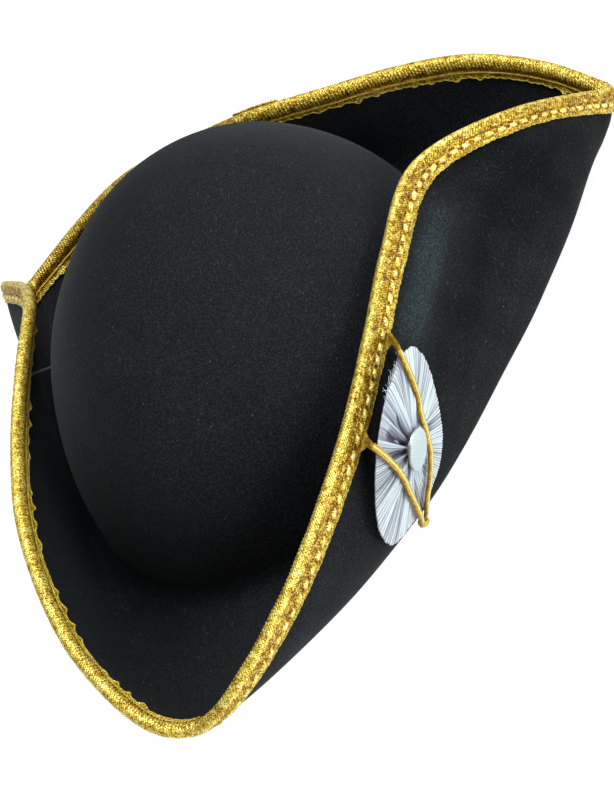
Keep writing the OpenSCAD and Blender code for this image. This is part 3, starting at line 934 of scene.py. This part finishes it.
def deep_folds(a, f):
    total = np.zeros(np.broadcast(a, f).shape)
    for degrees, width, depth, reach in DEEP_FOLDS:
        off = (a - math.radians(degrees) + np.pi) % TURN - np.pi
        spread = width * (0.6 + 1.2 * f)
        shown = rise(f, 0, 0.12) * np.clip((reach - f) / 0.3, 0, 1)
        total = total - depth * ridge(off, spread) * shown
    # The upper end of the ribbon lies over the lower one
    off = (a - OVERLAP_AT + np.pi) % TURN - np.pi
    step = 1 / (1 + np.exp(np.clip(off / 0.03, -30, 30)))
    return total + 1.1 * step * np.exp(-np.abs(off) / 0.5) * rise(f, 0.1, 0.3)


def pleated_rosette():
    turns, rows = 1350, 56
    phase = np.arange(turns) * TURN / turns
    x1, y1 = rim_point(phase)
    angle = np.arctan2(y1, x1)[:, None]
    reach = np.hypot(x1, y1)[:, None]
    f = np.linspace(HOLE / ROSETTE_MEAN, 1, rows)[None, :]
    ragged = 0.016 * wobble(phase, 0.5, 5, 31)[:, None] * f**3
    scallop = 1 + 0.005 * np.cos(RIB_COUNT / 3 * angle) * f**6 + ragged
    x, y = reach * f * np.cos(angle) * scallop, reach * f * np.sin(angle) * scallop
    height, tone = ribbon_folds(angle, f)
    deep = deep_folds(angle, f)
    edge = 1 - 0.5 * rise(f, 0.97, 0.03)
    top = dish(x, y, f) + 0.55 + (height + deep) * edge
    # Painted shade in the deep folds
    tone = np.clip(tone + 0.55 * np.clip(deep, -1, 0), 0, 1)
    upper = np.stack([x, y, top], axis=-1)
    lower = np.stack([x, y, top - RIBBON_THICK], axis=-1)[:, ::-4]
    rows_all = np.concatenate([upper, lower], axis=1)
    # Painted shade on the ribbon's underside
    tones = np.concatenate([tone, tone[:, ::-4] * 0.6], axis=1)
    columns = rows_all.shape[1]
    run = phase[:, None] * ROSETTE_MEAN + 0 * rows_all[..., 0]
    across = np.concatenate([f[0], f[0, ::-4]])[None, :] * ROSETTE_MEAN + 0 * run
    uv = np.stack([across, run], axis=-1)
    faces = grid_faces(turns, columns, True, True)
    return add_piece("pleated_rosette", on_cockade(rows_all), faces, ROSETTE_CLOTH,
                     ["cockade_rosette"], uv=uv, tone_and_painted_light=tones)


ROSETTE = pleated_rosette()


def frayed_threads():
    """Loose ribbon threads at the upper front, where the ribbon was cut."""
    x1, y1 = rim_point(np.linspace(0, TURN, 721))
    around = np.arctan2(y1, x1) % TURN
    order = np.argsort(around)
    s = np.linspace(0, 1, 7)
    parts = []
    for _ in range(FRAYED):
        a = math.radians(RANDOM.uniform(*FRAYED_FROM_TO))
        reach = np.interp(a, around[order], np.hypot(x1, y1)[order])
        start = reach * RANDOM.uniform(0.9, 1.0)
        r = start + RANDOM.uniform(1.0, 3.4) * s
        turned = a + RANDOM.uniform(-0.09, 0.09) * s**2
        z = dish(np.cos(a), np.sin(a), 1.0) + 0.4 + RANDOM.uniform(-1.2, 0.6) * s
        line = np.stack([r * np.cos(turned), r * np.sin(turned), z], axis=1)
        parts.append(tube(on_cockade(line), 0.11 * (1 - 0.5 * s), 5))
    add_threads("frayed_threads", parts, WHITE_THREAD)


frayed_threads()


BUTTON_LOW = 3.4
BUTTON_HEIGHT = 2.3
BUTTON_RADIUS = 7.8
DOME_END = 1.5  # where the dome ends and the cloth turns to the back


def covered_button():
    """A domed button under cloth that is gathered in round its back."""
    turns, rows = 180, 44
    a = np.arange(turns)[:, None] * TURN / turns
    s = np.linspace(0.02, 1, rows)[None, :]
    past = s * 2.05 - DOME_END
    on_dome = np.minimum(past + DOME_END, DOME_END) * np.pi / 3
    r = BUTTON_RADIUS * np.where(past < 0, np.sin(on_dome)**0.92,
                                 1 - 0.24 * np.maximum(past, 0)**1.2)
    z = BUTTON_HEIGHT * np.where(past < 0, 0.22 + 0.78 * np.cos(on_dome), 0.22 - 0.40 * past)
    gather = 0.10 * np.cos(26 * a + 0.8 * np.sin(3 * a)) * rise(s, 0.72, 0.28)
    r = r + gather
    z = np.maximum(z, 0.04) + 0 * a
    x, y = r * np.cos(a), r * np.sin(a)
    points = np.stack([x, y, BUTTON_LOW + z], axis=-1).reshape(-1, 3)
    faces = grid_faces(turns, rows, True, False)
    tip = len(points)
    points = np.vstack([points, [0, 0, BUTTON_LOW + BUTTON_HEIGHT]])
    faces += [[tip, i * rows, ((i + 1) % turns) * rows] for i in range(turns)]
    add_piece("button_cover", on_cockade(points), faces, BUTTON_CLOTH,
              ["button_cap"], body="button", uv=points[:, :2])


covered_button()


# --- Cord loop ---
UPPER_ROUTE = [[83.5, -52.5, 56.5], [88.5, -60.5, 60], [91.5, -66, 61], [91.5, -67.5, 58],
               [91, -68.5, 52], [89.5, -70.5, 42.5], [87.5, -73, 35.5], [86, -74.5, 28.5],
               [85, -76, 24.5], [84, -78, 20.5], [81, -82.5, 14], [77.5, -87, 8.5],
               [75.8, -88.5, 5.5], [73.5, -88, 1.5], [71.5, -87, -1.2]]
LOWER_ROUTE = [[74, -91.5, 47], [78, -97.5, 51.5], [81.5, -102.5, 54.5], [82.5, -102.5, 51.5],
               [81.5, -99, 42], [81, -97.5, 33], [78, -95.5, 21], [76, -94, 13.5],
               [74.8, -93.4, 8.8], [73.2, -92.3, 4], [71, -90.7, -0.5]]
GIMP_RADIUS = 0.74
GIMP_APART = 0.76
GIMP_PITCH = 0.9
CORE_RADIUS = 0.34
CORE_LIFT = 0.52
CORE_PAINTED_HIGHLIGHT = 1.6  # painted highlight: past 1, so that the thread stays pale between its windings


def wound_gimp(path, radius, side, way, sides=14):
    """A cord wound round with thread; also the tone at its points, with painted light where it
    faces out and beside its twin.
    """
    run = run_along(path)[:, None]
    a = np.arange(sides)[None, :] * TURN / sides
    turns = np.cos(TURN * run / GIMP_PITCH + a)
    points, faces, uv = tube(path, radius * (1 + 0.05 * turns), sides, side=side)
    out = unit(points.reshape(len(path), sides, 3) - path[:, None])
    facing = np.clip(out @ COCKADE_OUT, 0, 1)
    towards_twin = -way * np.sum(out * side[:, None], axis=2)
    # Painted light where the cord faces out and beside its twin, painted shade at its far side
    tone = 0.11 + 0.44 * facing**2 + 0.20 * facing * np.clip(towards_twin, 0, 1) + 0.08 * turns
    return (points, faces, uv), np.clip(tone, 0, 1)


def cord_strand(name, route, replaces):
    """Two wound cords side by side, with a thread in the groove between them whose paleness is a
    painted highlight.
    """
    path = smooth_path(route, 0.22)
    tangent = unit(np.gradient(path, axis=0))
    side = unit(np.cross(tangent, COCKADE_OUT))
    gimps = [wound_gimp(path + side * GIMP_APART * way, GIMP_RADIUS, side, way)
             for way in (-1, 1)]
    core = tube(path + COCKADE_OUT * CORE_LIFT, CORE_RADIUS, 8, side=side)
    points, faces, uv = joined([gimp[0] for gimp in gimps] + [core])
    tones = np.concatenate([gimp[1].ravel() for gimp in gimps] + [np.full(len(core[0]), CORE_PAINTED_HIGHLIGHT)])
    strand = add_piece(name, points, faces, GOLD_GIMP, replaces, uv=uv,
                       tone_and_painted_light=tones)
    return strand, path


UPPER_STRAND, UPPER_PATH = cord_strand("upper_strand", UPPER_ROUTE, ["loop_cord_upper"])
LOWER_STRAND, LOWER_PATH = cord_strand("lower_strand", LOWER_ROUTE, ["loop_cord_lower"])


FOOT_AT = np.array([70.6, -88.4, -1.9])
FOOT_AXIS = unit(np.array([0.35, 0.1, 0.93]))
FOOT_RADIUS = 1.9
FOOT_TURNS = 4


def foot_stitch():
    """Turns of gold thread round both strands at the foot of the flap."""
    across = unit(np.cross(FOOT_AXIS, [0.2, 0.3, 0.9]))
    other = np.cross(FOOT_AXIS, across)
    s = np.linspace(0, 1, 26 * FOOT_TURNS)
    line = FOOT_AT + FOOT_AXIS * ((s - 0.5) * 0.62 * FOOT_TURNS)[:, None]
    swell = FOOT_RADIUS * (1 - 0.18 * (2 * s - 1)**2)
    wrap = coil(line, across, other, TURN * FOOT_TURNS * s, swell, 0.72)
    add_threads("loop_foot_stitch", [tube(wrap, 0.34, 7)], GOLD_GIMP,
                ["loop_end_stitch"], 0.7)


GUSSET_HALF = 4.2
GUSSET_THREADS = 13


def gathered_threads():
    """Threads of the braid's border, drawn out to the cords where they leave it."""
    parts = []
    fine = np.linspace(0, EDGE_LENGTH, 8001)
    border = from_edge(station_at(fine), OUTER_WIDTH - 1.2 + 0 * fine, -GAP - 0.7 + 0 * fine)
    for path in (UPPER_PATH, LOWER_PATH):
        middle = fine[np.argmin(np.linalg.norm(border - path[12], axis=1))]
        for k in range(GUSSET_THREADS):
            f = 2 * k / (GUSSET_THREADS - 1) - 1
            run = np.array([middle + f * GUSSET_HALF])
            start = from_edge(station_at(run), np.array([OUTER_WIDTH - 1.6]),
                              np.array([-GAP - 0.75]))[0]
            tangent = unit(path[30] - path[20])
            side = unit(np.cross(tangent, COCKADE_OUT))
            end = path[26] + side * 1.1 * f + COCKADE_OUT * 0.55 * (1 - abs(f))
            bend_at = path[14] + side * 1.9 * f + COCKADE_OUT * 0.3
            s = np.linspace(0, 1, 15)[:, None]
            line = start * (1 - s)**2 + 2 * bend_at * s * (1 - s) + end * s**2
            parts.append(tube(line, 0.36, 6))
    add_threads("gathered_border", parts, GOLD_EDGE, ["loop_braid_stitches"], 0.5)


gathered_threads()
foot_stitch()


# --- Sweatband, its stitches and the blank label ---
BAND_LOW = 1.0
BAND_HEIGHT = 26.0
BAND_THICK = 0.8
BAND_INSET = 2.8
BAND_STITCHES = 44
RIBS = 420
LAP_AT = math.radians(62)
BAND_MEAN = 92.0  # the radius that the band's thread coordinates use


def band_point(angle, z, inset):
    """A point on the inside of the crown's wall, z up it and inset from its outside."""
    return crown(angle, z / (CROWN_HEIGHT - inset), inset)


def grosgrain_sweatband():
    turns, rows = 1680, 22
    a = np.arange(turns)[:, None] * TURN / turns
    f = np.linspace(0, 1, rows)[None, :]
    ribs = 0.10 * np.cos(RIBS * a) * np.clip(np.minimum(f, 1 - f) / 0.04, 0.2, 1)
    loose = 1.3 * np.clip(wobble(a, 0.55, 4, 51), 0, 1) * f**2
    lapped = 0.5 * (1 / (1 + np.exp(-(a - LAP_AT) / 0.004))) * ((a - LAP_AT) < 0.12)
    selvage = 0.18 * ridge(np.minimum(f, 1 - f), 0.03)
    thick = BAND_THICK * np.sqrt(np.clip(1 - (2 * f - 1)**8, 0.02, 1))
    inside = band_point(a, BAND_LOW + BAND_HEIGHT * f,
                        BAND_INSET + thick + loose + ribs + lapped + selvage)
    back = band_point(a, BAND_LOW + BAND_HEIGHT * f, BAND_INSET + loose)[:, ::-1]
    points = np.concatenate([inside, back], axis=1)
    columns = points.shape[1]
    faces = grid_faces(turns, columns, True, True)
    run = a * BAND_MEAN + 0 * points[..., 0]
    across = np.concatenate([f[0], f[0, ::-1]])[None, :] * BAND_HEIGHT + 0 * run
    # Painted light on the ribs' crests, painted shade in their grooves
    tone = 0.5 + 0.5 * np.cos(RIBS * a) + 0 * run
    return add_piece("grosgrain_sweatband", points, faces, BAND_CLOTH,
                     ["sweatband"], uv=np.stack([run, across], axis=-1), tone_and_painted_light=tone)


SWEATBAND = grosgrain_sweatband()


def band_stitches():
    """Running stitches along the band's lower edge, and a row down its lapped end."""
    parts = []
    f = np.linspace(0, 1, 9)
    arch = np.sin(np.pi * f)
    for k in range(BAND_STITCHES):
        middle = (k + 0.5) * TURN / BAND_STITCHES
        a = middle + (f - 0.5) * 0.052
        line = band_point(a, BAND_LOW + 2 + 0.25 * (f - 0.5), BAND_INSET + 0.55 + 0.62 * arch)
        parts.append(tube(line, 0.3, 8))
    for k in range(8):
        z = BAND_LOW + 2.5 + 2.9 * k
        a = LAP_AT + (f - 0.4) * 0.022
        line = band_point(a, z + 0.9 * f, BAND_INSET + 0.9 + 0.75 * arch)
        parts.append(tube(line, 0.22, 8))
    add_threads("band_stitching", parts, BLACK_THREAD, ["sweatband_stitches"])


band_stitches()


LABEL_HALF = math.radians(8)
LABEL_LOW = BAND_LOW + 6
LABEL_HEIGHT = 14.0
LABEL_INSET = 3.85
# The seams round the label, each from one place on it to another, and its count of stitches
LABEL_SEAMS = (((-0.93, 0.08), (0.93, 0.08), 13), ((-0.93, 0.92), (0.93, 0.92), 13),
               ((-0.93, 0.12), (-0.93, 0.88), 6), ((0.93, 0.12), (0.93, 0.88), 6))


def label_point(x, y, lift):
    """x from -1 to 1 along the label, y from 0 to 1 up it."""
    return band_point(np.pi / 2 + x * LABEL_HALF, LABEL_LOW + LABEL_HEIGHT * y,
                      LABEL_INSET + lift)


def blank_label():
    """A woven label with folded ends, sewn down round its edge and left blank."""
    wide, high = 100, 50
    x = np.linspace(-1, 1, wide)[:, None]
    y = np.linspace(0, 1, high)[None, :]
    edge = np.minimum((1 - np.abs(x)) * 12, np.minimum(y, 1 - y) * 14)
    sewn = 0.22 * ridge(edge - 1.2, 0.35)
    folded = 0.25 * (np.abs(x) > 0.90)
    puff = 0.45 * np.clip(edge / 5, 0, 1) * (1 + 0.3 * np.sin(5 * x + 2) * np.sin(4 * y + 1))
    face = label_point(x, y, 0.32 + folded + puff - sewn)
    back = label_point(x, y, 0.05 + puff * 0.8)[:, ::-1]
    points = np.concatenate([face, back], axis=1)
    faces = grid_faces(wide, 2 * high, False, True) + end_faces(wide, 2 * high, -1)
    across = np.concatenate([y[0], y[0, ::-1]])[None, :] * LABEL_HEIGHT + 0 * x
    uv = np.stack([x * 13.5 + 0 * across, across], axis=-1)
    add_piece("blank_size_label", points, faces, LABEL_CLOTH, ["size_label"],
              uv=uv)

    parts = []
    f = np.linspace(0, 1, 7)
    for low, high_end, count in LABEL_SEAMS:
        for k in range(count):
            s = (k + 0.15 + 0.7 * f) / count
            along = [low[i] + (high_end[i] - low[i]) * s for i in range(2)]
            lift = 0.42 + 0.28 * np.sin(np.pi * f)
            parts.append(tube(label_point(along[0], along[1], lift), 0.16, 6))
    add_threads("label_stitching", parts, BLACK_THREAD)


blank_label()


# --- Thread bars that hold the flaps up ---
TACK_IN = 14.0


def flap_bar(name, u, replaces):
    """Three twisted threads from the crown to the flap, knotted at both ends."""
    flap = from_edge(np.array([u]), np.array([TACK_IN]), np.array([FELT]))[0]
    angle = math.atan2(flap[1] / CROWN_LENGTH, flap[0] / CROWN_WIDTH)
    wall = crown(angle, flap[2] / CROWN_HEIGHT)
    span = flap - wall
    axis = unit(span)
    across = unit(np.cross(axis, [0.1, 0.2, 0.97]))
    other = np.cross(axis, across)
    parts = []
    s = np.linspace(-0.04, 1.04, 90)
    length = np.linalg.norm(span)
    for strand in range(3):
        a = TURN * (s * length / 2.6 + strand / 3)
        parts.append(tube(coil(wall + span * s[:, None], across, other, a, 0.32), 0.30, 8))
    for end, way in ((wall, 1), (flap, -1)):
        a = np.linspace(0, TURN * 2.5, 60)
        s = np.linspace(0.1, 0.9, 60)
        knot = coil(end + axis * way * s[:, None], across, other, a, 0.72)
        parts.append(tube(knot, 0.26, 7))
    add_threads(name, parts, BLACK_THREAD, replaces)


flap_bar("left_thread_bar", 5.2, ["left_flap_tack"])
flap_bar("right_thread_bar", LOOP - 5.2, ["right_flap_tack"])
flap_bar("back_thread_bar", HALF, ["back_flap_tack"])


# --- Where the braid's two ends meet at the back ---
LAP_HALF = 0.3
LAP_LIFT = 1.75


def lapped_end():
    """The braid's end turned under and sewn down over its start."""
    start, end = run_at(HALF - LAP_HALF), run_at(HALF + LAP_HALF)
    t = np.linspace(start, end, 90)[:, None]
    x = np.linspace(OUTER_WIDTH - 0.3, 0.3, 40)[None, :]
    h, tone = outer_relief(x, t[:, 0][:, None] + 2.1)
    ends = np.clip(np.minimum(t - start, end - t) / 0.9, 0, 1)
    sides = np.clip(np.minimum(x - 0.3, OUTER_WIDTH - 0.3 - x) / 0.5, 0.3, 1)
    roll = np.sqrt(1 - (1 - ends)**2)
    lift = LAP_LIFT + 0.15 + (0.35 + 0.55 * h * sides) * (0.35 + 0.65 * roll)
    u = station_at(t) + 0 * x
    face = from_edge(u, x + 0 * t, -lift)
    back = from_edge(u, x + 0 * t, -LAP_LIFT + 0 * lift)[:, ::-1]
    points = np.concatenate([face, back], axis=1)
    rows, columns = points.shape[:2]
    faces = grid_faces(rows, columns, False, True) + end_faces(rows, columns)
    across = np.concatenate([x[0], x[0, ::-1]])[None, :] + 0 * t
    uv = np.stack([t + 0 * across, across], axis=-1)
    # Painted shade where the end turns under and on its hidden back
    tones = np.concatenate([tone * (0.5 + 0.5 * roll), 0.3 + 0 * tone], axis=1)
    add_piece("lapped_braid_end", points, faces, GOLD_BRAID, ["braid_lap"],
              uv=uv, tone_and_painted_light=tones)

    parts = []
    f = np.linspace(0, 1, 9)
    for edge, way in ((start, 1), (end, -1)):
        for k in range(6):
            place = 1.2 + 1.35 * k
            run = edge + way * (1.1 - 2.0 * f)
            height = -(1.0 + 1.9 * np.sin(np.pi * np.clip(f + 0.12, 0, 1))**0.6)
            line = from_edge(station_at(run), place + 0.5 * f, height)
            parts.append(tube(line, 0.2, 7))
    add_threads("lap_stitching", parts, GOLD_EDGE, tone=0.6)


lapped_end()


# --- Floor, light and camera ---
def white_floor():
    low = CAD_BOX[0][2]
    bpy.ops.mesh.primitive_plane_add(size=40.0, location=(0, 0, low))
    floor = bpy.context.object
    floor.name = "floor"
    m = Shader("pale_floor", 0.8, Emission_Color=(1, 1, 1, 1), Emission_Strength=0.95)
    m.color(m.blend(m.noise(3, 2), (0.14, 0.14, 0.14), (0.17, 0.17, 0.17)))
    floor.data.materials.append(m.material)


def softbox(name, place, target, size, watts):
    light = bpy.data.lights.new(name, "AREA")
    light.shape = "DISK"
    light.size = size
    light.energy = watts
    light.color = (0.92, 1.0, 0.99)
    lamp = bpy.data.objects.new(name, light)
    lamp.location = place
    lamp.rotation_euler = (Vector(target) - Vector(place)).to_track_quat("-Z", "Y").to_euler()
    bpy.context.scene.collection.objects.link(lamp)


def camera():
    right = Vector((0.8594, 0.1336, -0.4935))
    up = Vector((0.2543, 0.7258, 0.6392))
    back = right.cross(up).normalized()
    up = back.cross(right).normalized()
    view = bpy.data.cameras.new("camera")
    view.sensor_width = 36.0
    view.lens = 113.2
    eye = bpy.data.objects.new("camera", view)
    turn = Matrix((right.normalized(), up, back)).transposed().to_4x4()
    place = right.normalized() * 0.00748 - up * 0.00328 + back * 1.002
    eye.matrix_world = Matrix.Translation(place) @ turn
    bpy.context.scene.collection.objects.link(eye)
    bpy.context.scene.camera = eye


def studio():
    world = bpy.data.worlds.new("studio")
    world.use_nodes = True
    world.node_tree.nodes["Background"].inputs[0].default_value = (1, 1, 1, 1)
    world.node_tree.nodes["Background"].inputs[1].default_value = 0.29
    bpy.context.scene.world = world
    softbox("overhead", (0.38, 0.22, 1.45), (0, 0, 0), 1.1, 24)
    softbox("side", (1.4, -0.75, 0.4), (0, 0, 0), 0.8, 14)


white_floor()
studio()
camera()
bpy.context.scene.view_settings.view_transform = "Standard"
